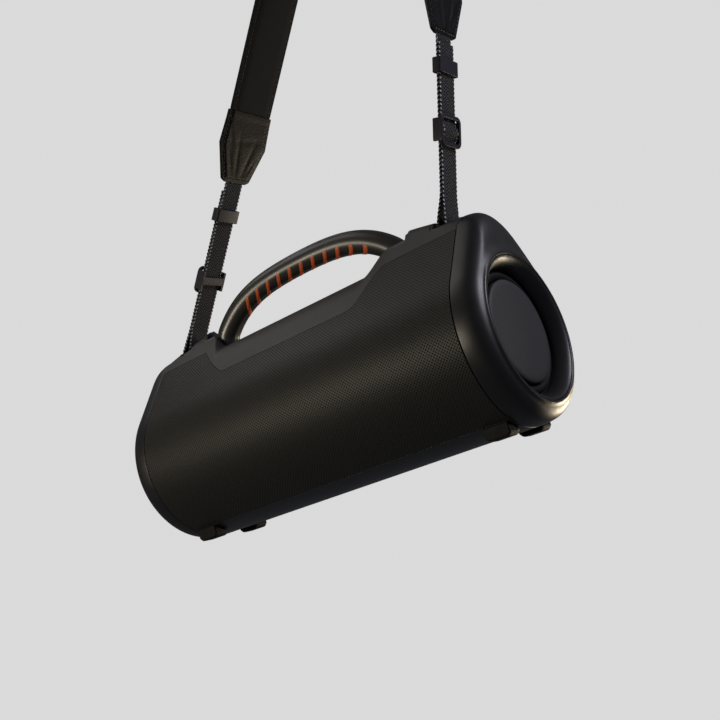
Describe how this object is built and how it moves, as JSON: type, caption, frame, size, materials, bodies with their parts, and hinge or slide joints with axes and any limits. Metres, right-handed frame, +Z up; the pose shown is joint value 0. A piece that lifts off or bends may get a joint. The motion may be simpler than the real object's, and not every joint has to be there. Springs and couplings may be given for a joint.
{
  "type": "portable speaker",
  "caption": "Drum-shaped portable loudspeaker with an arched carry handle and end radiators, hanging at a tilt from its padded shoulder strap.",
  "frame": {"origin": "the inside of the strap pad's highest point, where a shoulder or a hook carries it", "axes": "+Z up as it hangs, -Y the front, +X towards the end that hangs higher; the drum's long axis lies in the X-Z plane with its +X end 19.4 degrees up"},
  "size_m": [0.452, 0.16, 0.6275],
  "materials": {
    "housing": "satin black moulded ABS, finely textured",
    "cover": "matte grey-black moulded plastic",
    "grille": "black powder-coated perforated steel",
    "grip": "satin dark olive-grey soft-touch moulding",
    "ribs": "orange moulded elastomer",
    "disc": "matte grey moulded cone plate",
    "rubber": "black butyl and silicone rubber",
    "buckle": "satin grey-violet acetal moulding",
    "webbing": "black polypropylene webbing with light dotted edge stitching",
    "leatherette": "glossy black coated leatherette",
    "pad": "smooth black coated fabric over foam",
    "steel": "zinc-plated steel",
    "cone": "pressed paper and polypropylene cone",
    "board": "green solder-masked board",
    "battery": "heat-shrunk battery pack"
  },
  "bodies": {
    "strap": {"shoulder_pad": "pad", "strap_end_left": "leatherette", "strap_end_right": "leatherette", "webbing_left": "webbing", "webbing_right": "webbing", "webbing_tail_left": "webbing", "webbing_tail_right": "webbing", "slider_left": "buckle", "slider_right": "buckle"},
    "housing": {"front_grille": "grille", "rear_grille": "grille", "base_panel": "housing", "top_cover": "cover", "control_strip": "housing", "button_board": "board", "handle_grip": "grip", "handle_rib_insert": "ribs", "cabinet": "housing", "battery_pack": "battery", "main_board": "board", "port_panel": "housing", "usb_socket": "steel", "handle_socket_left": "housing", "handle_socket_right": "housing", "strap_slot_left": "housing", "strap_slot_right": "housing", "strap_bar_left": "steel", "strap_bar_right": "steel", "end_cap_left": "housing", "end_cap_right": "housing", "horn_ring_left": "housing", "horn_ring_right": "housing", "radiator_frame_left": "housing", "radiator_frame_right": "housing", "radiator_surround_left": "rubber", "radiator_surround_right": "rubber", "handle_anchor_left": "steel", "handle_anchor_right": "steel", "woofer_basket_left": "steel", "woofer_basket_right": "steel", "woofer_magnet_left": "steel", "woofer_magnet_right": "steel", "webbing_loop_left": "webbing", "webbing_loop_right": "webbing", "foot_front_right": "rubber", "foot_rear_left": "rubber", "foot_rear_right": "rubber", "foot_front_left": "rubber"},
    "keeper_left": {"keeper_left": "buckle"},
    "radiator_left": {"radiator_disc_left": "disc"},
    "woofer_left": {"woofer_cone_left": "cone"},
    "keeper_right": {"keeper_right": "buckle"},
    "radiator_right": {"radiator_disc_right": "disc"},
    "woofer_right": {"woofer_cone_right": "cone"},
    "button_power": {"button_power": "rubber"},
    "button_pairing": {"button_pairing": "rubber"},
    "button_volume_down": {"button_volume_down": "rubber"},
    "button_play": {"button_play": "rubber"},
    "button_volume_up": {"button_volume_up": "rubber"},
    "port_cover": {"port_cover": "rubber"}
  },
  "joints": [
    {"name": "body_swing", "type": "hinge", "parent": "strap", "child": "housing", "pos_m": [-0.06701, 0, -0.35794], "axis": [0.9432, 0, 0.3322], "range_deg": [-20, 20]},
    {"name": "keeper_left_slide", "type": "slide", "parent": "strap", "child": "keeper_left", "axis": [0.3236, 0, 0.9462], "range_m": [-0.03, 0.012]},
    {"name": "keeper_right_slide", "type": "slide", "parent": "strap", "child": "keeper_right", "axis": [-0.0233, 0, 0.9997], "range_m": [-0.03, 0.012]},
    {"name": "radiator_left_travel", "type": "slide", "parent": "housing", "child": "radiator_left", "axis": [-0.9432, 0, -0.3322], "range_m": [-0.0035, 0.0035], "stiffness_N_per_m": 1500},
    {"name": "woofer_left_travel", "type": "slide", "parent": "housing", "child": "woofer_left", "axis": [0, -1, 0], "range_m": [-0.0025, 0.0025], "stiffness_N_per_m": 1200},
    {"name": "radiator_right_travel", "type": "slide", "parent": "housing", "child": "radiator_right", "axis": [0.9432, 0, 0.3322], "range_m": [-0.0035, 0.0035], "stiffness_N_per_m": 1500},
    {"name": "woofer_right_travel", "type": "slide", "parent": "housing", "child": "woofer_right", "axis": [0, -1, 0], "range_m": [-0.0025, 0.0025], "stiffness_N_per_m": 1200},
    {"name": "button_power_press", "type": "slide", "parent": "housing", "child": "button_power", "axis": [0.3322, 0, -0.9432], "range_m": [0, 0.0008], "stiffness_N_per_m": 900},
    {"name": "button_pairing_press", "type": "slide", "parent": "housing", "child": "button_pairing", "axis": [0.3322, 0, -0.9432], "range_m": [0, 0.0008], "stiffness_N_per_m": 900},
    {"name": "button_volume_down_press", "type": "slide", "parent": "housing", "child": "button_volume_down", "axis": [0.3322, 0, -0.9432], "range_m": [0, 0.0008], "stiffness_N_per_m": 900},
    {"name": "button_play_press", "type": "slide", "parent": "housing", "child": "button_play", "axis": [0.3322, 0, -0.9432], "range_m": [0, 0.0008], "stiffness_N_per_m": 900},
    {"name": "button_volume_up_press", "type": "slide", "parent": "housing", "child": "button_volume_up", "axis": [0.3322, 0, -0.9432], "range_m": [0, 0.0008], "stiffness_N_per_m": 900},
    {"name": "port_cover_hinge", "type": "hinge", "parent": "housing", "child": "port_cover", "pos_m": [-0.01141, 0.0709, -0.51583], "axis": [-0.9432, 0, -0.3322], "range_deg": [0, 110]}
  ]
}
